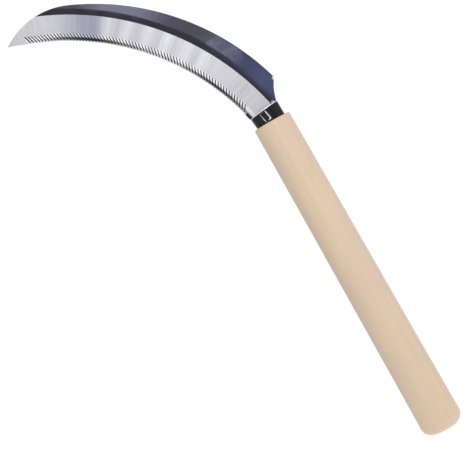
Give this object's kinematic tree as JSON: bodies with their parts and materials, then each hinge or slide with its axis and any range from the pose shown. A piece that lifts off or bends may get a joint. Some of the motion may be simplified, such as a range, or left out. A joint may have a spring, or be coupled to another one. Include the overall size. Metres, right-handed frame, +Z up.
{
  "type": "hand sickle",
  "caption": "Hand sickle: curved steel blade with a ground, saw-toothed inner edge, a black steel collar and a straight oval wooden handle.",
  "frame": {"origin": "middle of the wooden grip, on the handle's axis", "axes": "+Z up the handle towards the blade, -X towards the cutting side, -Y towards the ground and toothed face of the blade"},
  "size_m": [0.1434, 0.0244, 0.3701],
  "materials": {
    "blade_steel": "satin ground bevel below, glossy blue-black lacquer above",
    "black_lacquer": "glossy black lacquer over sheet steel",
    "handle_wood": "sanded pale wood, no varnish",
    "nail_steel": "dull wire nail"
  },
  "bodies": {
    "root": {"blade": "blade_steel", "ferrule": "black_lacquer", "handle": "handle_wood", "retaining_nail": "nail_steel"}
  },
  "joints": []
}
